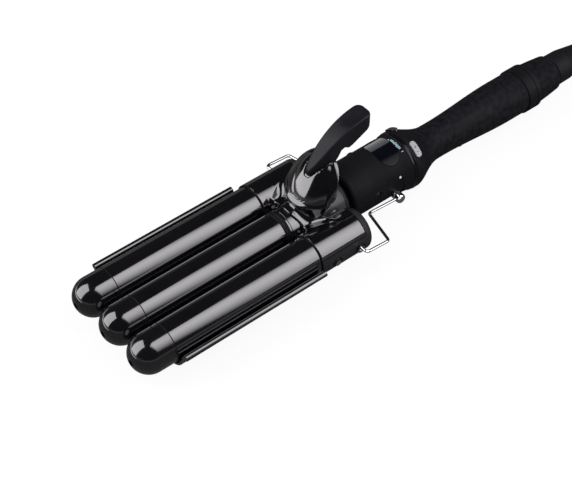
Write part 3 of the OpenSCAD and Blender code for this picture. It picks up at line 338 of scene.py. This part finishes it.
# The thumb dish is cut by a ring standing above the lever
DISH_AT, DISH_TURN, DISH_LIFT, DISH_RING_R, DISH_TUBE_R = 0.8, math.radians(12.5), 55.9, 45, 12


def egg(x, y, z, growth):
    """Distance to the dome's egg shape."""
    dx, dz = x - DOME_S, z - DOME_Z
    along = dx * math.sin(LEAN) + dz * math.cos(LEAN)
    across = (dx * math.cos(LEAN) - dz * math.sin(LEAN)) ** 2 + y ** 2
    r, h = EGG_R + growth, EGG_H + growth
    k0 = np.sqrt(across / r ** 2 + along ** 2 / h ** 2)
    k1 = np.sqrt(across / r ** 4 + along ** 2 / h ** 4)
    return k0 * (k0 - 1) / np.maximum(k1, 1e-6)


def lever_plan(x, y, gap_front, gap_side):
    """Distance to the lever's outline seen from above."""
    half_w, side = LEVER_HALF_W + gap_side, np.abs(y)
    length = LEVER_NOSE + gap_front
    cx = np.clip((x - LEVER_WIDEST_S) / length, -3, 0)
    bulge = (side / half_w) ** NOSE_POWER + cx ** 2 - 1
    lean = np.hypot(NOSE_POWER * (side / half_w) ** (NOSE_POWER - 1) / half_w, 2 * cx / length)
    front = bulge / np.maximum(lean, 0.03)
    r = LEVER_CORNER_R + gap_side
    qx, qy = x - (LEVER_END_S + gap_side - r), side - (half_w - r)
    rear = np.hypot(np.maximum(qx, 0), np.maximum(qy, 0)) + np.minimum(np.maximum(qx, qy), 0) - r
    return np.where(x < LEVER_WIDEST_S, front, rear)


def cover_field(x, y, z):
    """The glossy cover: sleeve halves, saddle, skirt and the hollow dome with its lip.

    The last number of each blend is the reach of its rounding.
    """
    a = np.abs(y)
    side = a - PITCH
    dx, dz = x - RIM_S, z - RIM_Z
    rise = dz * math.cos(TILT) - dx * math.sin(TILT)
    out = np.hypot(dx * math.cos(TILT) + dz * math.sin(TILT), y)
    rear = (x - DOME_S) * math.cos(LEAN) - (z - DOME_Z) * math.sin(LEAN) + DOME_CUT
    front = (z - FRONT_Z) * FRONT_RISE - (x - FRONT_S) * FRONT_RUN + y ** 2 / FRONT_ROUND
    dome, proud = soft_max(egg(x, y, z, 0), front, 2.0), egg(x, y, z, LIP_PROUD)
    shell = soft_max(dome, -rise, 0.5)
    ring = soft_max(soft_max(proud, -rise, 0.8), rise - LIP_H, 1.0)
    edge = soft_max(soft_max(proud, -rise, 0.8), -(rear + LIP_REAR), 1.0)
    skirt = soft_max(out - SKIRT_R, rise - SKIRT_LAP, 0.4)
    skirt = soft_max(skirt, SKIRT_START - x, 1.5)
    skirt = np.maximum(np.maximum(skirt, FOOT_Z - z), a - PITCH)
    solid = soft_min(soft_min(shell, ring, 1.0), edge, 1.0)
    solid = soft_min(solid, skirt, 0.5)
    solid = soft_max(solid, rear, 0.5)
    solid = soft_max(solid, np.minimum(x - LOW_END_S, RIM_Z - z), 0.5)
    sleeves = np.maximum(np.hypot(side, z) - SLEEVE_R, x - SLEEVE_END)
    apron_front = APRON_START + APRON_SWEEP * (y / SLEEVE_R) ** 2
    apron = np.maximum(np.hypot(y, z) - APRON_R, np.maximum(x - HINGE_S, a - SLEEVE_R))
    apron = soft_max(np.maximum(apron, FOOT_Z - z), apron_front - x, 0.5)
    solid = soft_min(solid, apron, 4.0)
    solid = soft_min(solid, sleeves, 8.0)
    solid = soft_max(solid, COVER_START - x, 0.35)
    # Bores round the barrels and the neck, then the room for the hinge and the lever's slot
    solid = np.maximum(solid, BORE_R - np.hypot(side, z))
    solid = np.maximum(solid, SLEEVE_R - np.hypot(y, z))
    solid = np.maximum(solid, -np.maximum(egg(x, y, z, -HOLLOW_WALL), HOLLOW_FOOT_Z - z))
    mouth = np.maximum(np.hypot(dx, y) - MOUTH_R, np.maximum(HOLLOW_FOOT_Z - z, z - RIM_Z))
    solid = np.maximum(solid, -mouth)
    room = np.maximum(a - REAR_ROOM_HALF, z - RIM_Z - REAR_ROOM_LIFT)
    solid = np.maximum(solid, -np.maximum(REAR_ROOM_S - x, room))
    plan = lever_plan(x, y, SLOT_FRONT_GAP, SLOT_SIDE_GAP)
    slot = np.maximum(np.maximum(plan, RIM_Z - z), -SLOT_DEPTH - egg(x, y, z, 0))
    solid = soft_max(solid, -slot, 0.2)
    cut = np.where(side > 0, side * math.sin(SPLIT) - z * math.cos(SPLIT), -z)
    return np.maximum(solid, cut)


def arc_points(cx, cz, r, a0, a1, steps):
    angles = [math.radians(a0 + (a1 - a0) * i / steps) for i in range(steps + 1)]
    return [(cx + r * math.cos(a), cz + r * math.sin(a)) for a in angles]


def lever_curve(t):
    """The lever's arched top line."""
    p = [(HINGE_S - 9.8, HINGE_Z + 19.9), (HINGE_S + 10, HINGE_Z + 43.5),
         (HINGE_S + 35, HINGE_Z + 44.5)]
    w = ((1 - t) ** 2, 2 * t * (1 - t), t ** 2)
    return tuple(sum(w[i] * p[i][j] for i in range(3)) for j in (0, 1))


# The lever's outline from the side: the arch, the rounded thumb end, the underside and the foot
LEVER_SIDE = (
    [lever_curve(i / 24) for i in range(25)]
    + arc_points(HINGE_S + 34.4, HINGE_Z + 41.5, 3, 75, -50, 8)
    + [(HINGE_S + a, HINGE_Z + b) for a, b in (
        (34.6, 34.5), (20, 27.3), (17.6, 26.7), (14.6, 28.5), (12.4, 27.5), (10, 23.2),
        (-2.5, 7.55), (-9.4, 7.55), (-9.4, 15.5))]
)


def polygon_field(x, z, corners):
    """Distance to a closed outline, below zero inside."""
    best = np.full(x.shape, 1e9)
    flip = np.ones(x.shape)
    for (ax, az), (bx, bz) in zip(corners, corners[1:] + corners[:1]):
        ex, ez = bx - ax, bz - az
        wx, wz = x - ax, z - az
        t = np.clip((wx * ex + wz * ez) / (ex * ex + ez * ez), 0, 1)
        best = np.minimum(best, (wx - t * ex) ** 2 + (wz - t * ez) ** 2)
        up = (z >= az) & (z < bz) & (ex * wz < ez * wx)
        down = (z < az) & (z >= bz) & (ex * wz > ez * wx)
        flip = np.where(up | down, -flip, flip)
    return flip * np.sqrt(best)


def lever_field(x, y, z):
    """The thumb lever, with rounded edges and a dish for the thumb."""
    solid = soft_max(polygon_field(x, z, LEVER_SIDE), lever_plan(x, y, 0, 0), 1.6)
    top = lever_curve(DISH_AT)
    dx, dz = x - top[0], z - top[1]
    up = dz * math.cos(DISH_TURN) - dx * math.sin(DISH_TURN)
    along = dx * math.cos(DISH_TURN) + dz * math.sin(DISH_TURN)
    ring = np.hypot(np.hypot(along, up - DISH_LIFT) - DISH_RING_R, y) - DISH_TUBE_R
    return soft_max(solid, -ring, 0.7)


def build_jaw_cover():
    points, faces = net_of(cover_field, (126, -42, -2), (190, 42, 62), step=0.5)
    mesh_piece("cover_shell", points, faces, "cover_gloss", "upper_jaw", ["jaw_cover"])


def build_lever():
    points, faces = net_of(lever_field, (146, -8, 22), (196, 8, 64), step=0.4)
    mesh_piece("lever_shell", points, faces, "lever_satin", "upper_jaw", ["thumb_lever"])


# ---------------------------------------------------------------- small details


# Heights of the axes of the grip and the window
GRIP_AXIS = 0.5
WINDOW_AXIS = GRIP_AXIS + 0.4
BODY_R, COLLAR_R, COLLAR_PEAK, COLLAR_RUN, BODY_PROUD = 17.9, 19.5, 225.0, 13, 0.1
KEY_S, KEY_R = COLLAR_PEAK + 0.7, COLLAR_R + 0.8
# Height and thickness of the marks on the window and the key
MARK_LIFT, MARK_THICK, KEY_MARK_LIFT, KEY_MARK_THICK = 0.16, 0.3, 0.05, 0.2
SEAM_INNER_R, CAP_SEAM_R, BAND_EDGE_R = 12.3, 12.52, 12.56
CAP_SEAM_BACK, SEAM_HALF_W, GROOVE_DEPTH = 0.12, 0.3, 0.5
SCREW_STATIONS, SCREW_Z = (139.0, 156.5), -1.5


def wrapped(s0, s1, e0, e1, r, thick, axis_z, steps=4):
    """A thin closed plate on a round body, between two stations and two angles.

    The angles are in degrees above -Y, and r is the plate's outer radius.
    """
    points, faces = [], []
    for i in range(steps + 1):
        a = math.radians(e0 + (e1 - e0) * i / steps)
        for s, q in ((s0, r - thick), (s1, r - thick), (s1, r), (s0, r)):
            points.append((s, -q * math.cos(a), axis_z + q * math.sin(a)))
    for i in range(steps):
        for j in range(4):
            a, b = 4 * i + j, 4 * i + (j + 1) % 4
            faces.append((a, b, b + 4, a + 4))
    faces += [(3, 2, 1, 0), tuple(4 * steps + j for j in range(4))]
    return points, faces


def joined(parts):
    """Several meshes as one."""
    points, faces = [], []
    for part_points, part_faces in parts:
        faces += [[len(points) + v for v in face] for face in part_faces]
        points += part_points
    return points, faces


def loop_faces(n, steps):
    """Quads between copies of a loop of n points, the last copy joined to the first."""
    faces = []
    for i in range(steps):
        here, ahead = i * n, (i + 1) % steps * n
        for j in range(n):
            k = (j + 1) % n
            faces.append((here + j, here + k, ahead + k, ahead + j))
    return faces


def turned(profile, axis_z, steps=96):
    """A closed ring about the long axis, from a loop of (station, radius)."""
    points = []
    for i in range(steps):
        a = 2 * math.pi * i / steps
        points += [(s, -r * math.cos(a), axis_z + r * math.sin(a)) for s, r in profile]
    return points, loop_faces(len(profile), steps)


def collar_radius(s):
    """The body's outer radius in front of the collar's peak."""
    t = min(1, max(0, (s - COLLAR_PEAK + COLLAR_RUN) / COLLAR_RUN))
    return BODY_R + BODY_PROUD + (COLLAR_R - BODY_R - BODY_PROUD) * t * t * (3 - 2 * t)


def build_marks():
    """Plain marks on the window: a row of bars, a dash and a dot; a plus and a minus on a key."""
    def on_window(s, s0, s1, e0, e1):
        return wrapped(s0, s1, e0, e1, collar_radius(s) + MARK_LIFT, MARK_THICK, WINDOW_AXIS)

    def on_key(half, e0, e1):
        return wrapped(KEY_S - half, KEY_S + half, e0, e1,
                       KEY_R + KEY_MARK_LIFT, KEY_MARK_THICK, GRIP_AXIS)

    # Each bar has its angle and its length
    row_s, waver, half_angle = 216.9, 0.12, 1.15
    bars = []
    for i, (e, length) in enumerate(((96, 1.1), (92.4, 1.7), (88.8, 1.3), (85.2, 2.1), (81.6, 1.5),
                                     (78, 2.1), (74.4, 1.8), (71, 1.4))):
        s = row_s + waver * math.sin(2.1 * i)
        bars.append(on_window(s, s - length / 2, s + length / 2, e - half_angle, e + half_angle))
    dash, dot = on_window(217, 216.5, 217.9, 62.2, 63.6), on_window(216, 215.9, 216.7, 100.2, 102.6)
    mesh_piece("window_marks", *joined(bars + [dash, dot]), "mark_paint", "handle",
               slot="lens_white", smooth=False)
    plus, minus = [on_key(0.16, 56.0, 60.0), on_key(0.72, 57.5, 58.5)], [on_key(0.72, 48.6, 49.6)]
    mesh_piece("key_marks", *joined(plus + minus), "mark_dark", "temperature_key",
               slot="gland_rubber", smooth=False)


def build_collar_ring():
    """Glossy trim between the window and the keys, with a fine rib at each edge."""
    loop = [(219.3, -0.25), (219.3, 0.12), (219.5, 0.22), (219.8, 0.12), (220.6, 0.06),
            (221.6, 0.1), (221.9, 0.24), (222.2, 0.2), (222.4, 0.05), (222.4, -0.25)]
    points, faces = turned([(s, collar_radius(s) + lift) for s, lift in loop], GRIP_AXIS)
    mesh_piece("collar_trim", points, faces, "trim_gloss", "handle", slot="band_matte")


def build_seams():
    """Dark seams where caps and sleeves meet the barrels, and the middle one's matt band."""
    def band(s0, s1, r, y):
        loop = [(s0, SEAM_INNER_R), (s0, r), (s1, r), (s1, SEAM_INNER_R)]
        points, faces = turned(loop, 0.0)
        return [(px, py + y, pz) for px, py, pz in points], faces

    # The bands are placed from the front edges of the caps and the sleeve bases
    base_low, base_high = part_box("right_sleeve_base")
    sleeve_low, sleeve_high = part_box("middle_sleeve")
    cap = (MIDDLE_BARREL[0][0] - STATION_0) / MM - CAP_SEAM_BACK
    base = (base_low[0] - STATION_0) / MM
    base_r = (base_high[1] - base_low[1]) / 2 / MM
    groove_r = (sleeve_high[1] - sleeve_low[1]) / 2 / MM - GROOVE_DEPTH
    middle = [band(cap - SEAM_HALF_W, cap + SEAM_HALF_W, CAP_SEAM_R, 0),
              band(base - 3.8, base - 1.9, BAND_EDGE_R, 0),
              band(base - 1.95, base + 0.3, groove_r + 0.04, 0)]
    outer = []
    for y in (-PITCH, PITCH):
        outer += [band(cap - SEAM_HALF_W, cap + SEAM_HALF_W, CAP_SEAM_R, y),
                  band(base - 0.04, base + 0.3, base_r + 0.03, y)]
    mesh_piece("middle_seams", *joined(middle), "band_matte", "handle", slot="band_matte")
    mesh_piece("outer_seams", *joined(outer), "band_matte", "upper_jaw", slot="band_matte")


def build_screw_rings():
    """Black washers round the four screws on the sleeves' outer sides."""
    # Radius about the screw, and lift above the sleeve
    loop = [(2.75, 0.12), (2.95, 0.3), (3.25, 0.42), (3.55, 0.3), (3.7, -0.3), (2.75, -0.3)]
    steps, parts = 40, []
    for side in (-1, 1):
        faces = [face[::-side] for face in loop_faces(len(loop), steps)]
        for s in SCREW_STATIONS:
            points = []
            for i in range(steps):
                a = 2 * math.pi * i / steps
                for r, lift in loop:
                    z = SCREW_Z + r * math.sin(a)
                    y = PITCH + math.sqrt(SLEEVE_R ** 2 - abs(z) ** 2) + lift
                    points.append((s + r * math.cos(a), side * y, z))
            parts.append((points, faces))
    mesh_piece("screw_washers", *joined(parts), "trim_gloss", "upper_jaw", slot="band_matte")


# ---------------------------------------------------------------- studio


def mirrored(m):
    """One for the rays that reflections and clear pieces send out, else zero."""
    paths = node(m, "ShaderNodeLightPath")
    either = node(m, "ShaderNodeMath", operation="MAXIMUM")
    link(m, paths.outputs["Is Glossy Ray"], either.inputs[0])
    link(m, paths.outputs["Is Transmission Ray"], either.inputs[1])
    return either.outputs[0]


def mixed(m, share, first, second):
    """The first shader where share is zero, the second where it is one."""
    n = node(m, "ShaderNodeMixShader")
    for socket, source in zip(n.inputs, (share, first, second)):
        link(m, source, socket)
    return n.outputs[0]


def build_world():
    """White for the camera. Glossy rays see a pale horizon under a dim ceiling."""
    world = bpy.data.worlds.new("studio")
    bpy.context.scene.world = world
    world.use_nodes = True
    world.node_tree.nodes.clear()
    out = node(world, "ShaderNodeOutputWorld")
    white = node(world, "ShaderNodeBackground", Color=(1, 1, 1, 1), Strength=1.0)
    fill = node(world, "ShaderNodeBackground", Color=(1, 1, 1, 1), Strength=0.3)
    mirror = node(world, "ShaderNodeBackground", Color=(1, 1, 1, 1))
    height = node(world, "ShaderNodeSeparateXYZ")
    link(world, node(world, "ShaderNodeTexCoord").outputs["Generated"], height.inputs[0])
    fade = spread(world, height.outputs["Z"], 0.25, 0.02, source_low=0.0, source_high=0.2)
    fade.node.interpolation_type = "SMOOTHSTEP"
    link(world, fade, mirror.inputs["Strength"])
    inner = mixed(world, mirrored(world), fill.outputs[0], mirror.outputs[0])
    camera_ray = node(world, "ShaderNodeLightPath").outputs["Is Camera Ray"]
    link(world, mixed(world, camera_ray, inner, white.outputs[0]), out.inputs["Surface"])


def build_floor():
    """Nearly plain white for the camera, with a faint shadow; dim in reflections, but for a painted
    pool of light at the foot of the tip softbox.
    """
    half, white_share = 3.0, 0.88
    corners = [(-half, -half, 0), (half, -half, 0), (half, half, 0), (-half, half, 0)]
    floor_mesh = bpy.data.meshes.new("floor")
    floor_mesh.from_pydata(corners, [], [(0, 1, 2, 3)])
    floor = bpy.data.objects.new("floor", floor_mesh)
    bpy.context.scene.collection.objects.link(floor)
    m = bpy.data.materials.new("floor_white")
    m.use_nodes = True
    m.node_tree.nodes.clear()
    out = node(m, "ShaderNodeOutputMaterial")
    diffuse = node(m, "ShaderNodeBsdfDiffuse", Color=(0.8, 0.8, 0.8, 1))
    white = node(m, "ShaderNodeEmission", Color=(1, 1, 1, 1), Strength=1.05)
    # In reflections the floor shows a painted pool of light at the foot of the tip softbox
    pale = node(m, "ShaderNodeEmission", Color=(1, 1, 1, 1))
    painted_pool_distance = node(m, "ShaderNodeVectorMath", operation="DISTANCE")
    link(m, place_node(m), painted_pool_distance.inputs[0])
    painted_pool_distance.inputs[1].default_value = (-0.72, 0.45, 0)
    # The painted pool's strength falls from 2.8 near the foot to 0.09 beyond, seen in reflections
    # only
    glow = spread(m, painted_pool_distance.outputs["Value"], 2.8, 0.09, source_low=0.38, source_high=0.46)
    link(m, glow, pale.inputs["Strength"])
    lower = mixed(m, mirrored(m), diffuse.outputs[0], pale.outputs[0])
    share = node(m, "ShaderNodeMath", operation="MULTIPLY")
    link(m, node(m, "ShaderNodeLightPath").outputs["Is Camera Ray"], share.inputs[0])
    share.inputs[1].default_value = white_share
    link(m, mixed(m, share.outputs[0], lower, white.outputs[0]), out.inputs["Surface"])
    floor.data.materials.append(m)


def area_light(name, direction, distance, size, power, color=(1, 1, 1), roll=0.0, aim=(0, 0, 0.02)):
    """A rectangular light that looks at a point, and that the camera doesn't see."""
    data = bpy.data.lights.new(name, "AREA")
    data.shape = "RECTANGLE"
    data.size, data.size_y = size
    data.energy = power
    data.color = color
    obj = bpy.data.objects.new(name, data)
    bpy.context.scene.collection.objects.link(obj)
    d = Vector(direction).normalized()
    obj.location = Vector(aim) + d * distance
    turn = Matrix.Rotation(roll, 3, d)
    obj.rotation_euler = (turn @ d.to_track_quat("Z", "X").to_matrix()).to_euler()
    obj.visible_camera = False
    return data


def light_only(name, target):
    """A reflection card that lights and shows in one node alone."""
    receivers = bpy.data.collections.new(name + "_receivers")
    receivers.objects.link(frame["nodes"][target])
    bpy.data.objects[name].light_linking.receiver_collection = receivers


def soften(light):
    """The softbox is bright along its middle and falls off towards its long edges."""
    light.use_nodes = True
    parts = node(light, "ShaderNodeSeparateXYZ")
    link(light, node(light, "ShaderNodeNewGeometry").outputs["Parametric"], parts.inputs[0])
    across = node(light, "ShaderNodeMath", operation="MULTIPLY_ADD")
    link(light, parts.outputs["Y"], across.inputs[0])
    across.inputs[1].default_value, across.inputs[2].default_value = 2.0, -1.0
    square = node(light, "ShaderNodeMath", operation="MULTIPLY")
    link(light, across.outputs[0], square.inputs[0])
    link(light, across.outputs[0], square.inputs[1])
    glow = light.node_tree.nodes["Emission"].inputs["Strength"]
    link(light, spread(light, square.outputs[0], 1.0, 0.06, 0.0, 1.0), glow)


def camera():
    """The photograph's camera: a pinhole fitted to some forty points of the photo."""
    data = bpy.data.cameras.new("camera")
    data.sensor_width = 36.0
    data.lens = 103.4
    data.clip_start, data.clip_end = 0.05, 20
    obj = bpy.data.objects.new("camera", data)
    bpy.context.scene.collection.objects.link(obj)
    right, up, back = (0.7752, -0.6317, 0.0), (0.4583, 0.5625, 0.6882), (-0.4347, -0.5335, 0.7256)
    turn = Matrix((right, up, back)).transposed()
    obj.matrix_world = Matrix.Translation(at(-296.33, -526.67, 705.62)) @ turn.to_4x4()
    bpy.context.scene.camera = obj


build_materials()
dress_nodes()
build_jaw_cover()
build_lever()
build_marks()
build_collar_ring()
build_screw_rings()
build_seams()
build_floor()
build_world()
# Name, direction from what it looks at, distance, size and power
soften(area_light("long_softbox", (0.392, -0.565, 0.726), 1.0, (1.4, 0.72), 10.0,
                  color=(0.99, 0.96, 1.0)))
area_light("tip_softbox", (-0.65, 0.44, 0.53), 1.2, (1.38, 0.95), 12.0,
           color=(1.0, 0.97, 1.0), roll=0.17)
area_light("window_card", (0.435, 0.8, 0.28), 0.42, (0.34, 0.16), 0.6,
           color=(0.93, 0.94, 1.0), aim=at(207, 4, 19))
light_only("window_card", "display_window")
area_light("chrome_card", (-0.43, -0.6, 0.7), 1.0, (1.1, 0.8), 9.0)
light_only("chrome_card", "stand_wire")
area_light("cap_card", (-0.43, -0.5, 0.75), 0.7, (2.2, 2.2), 17.0)
light_only("cap_card", "stand_caps")
camera()

bpy.context.scene.view_settings.view_transform = "Standard"
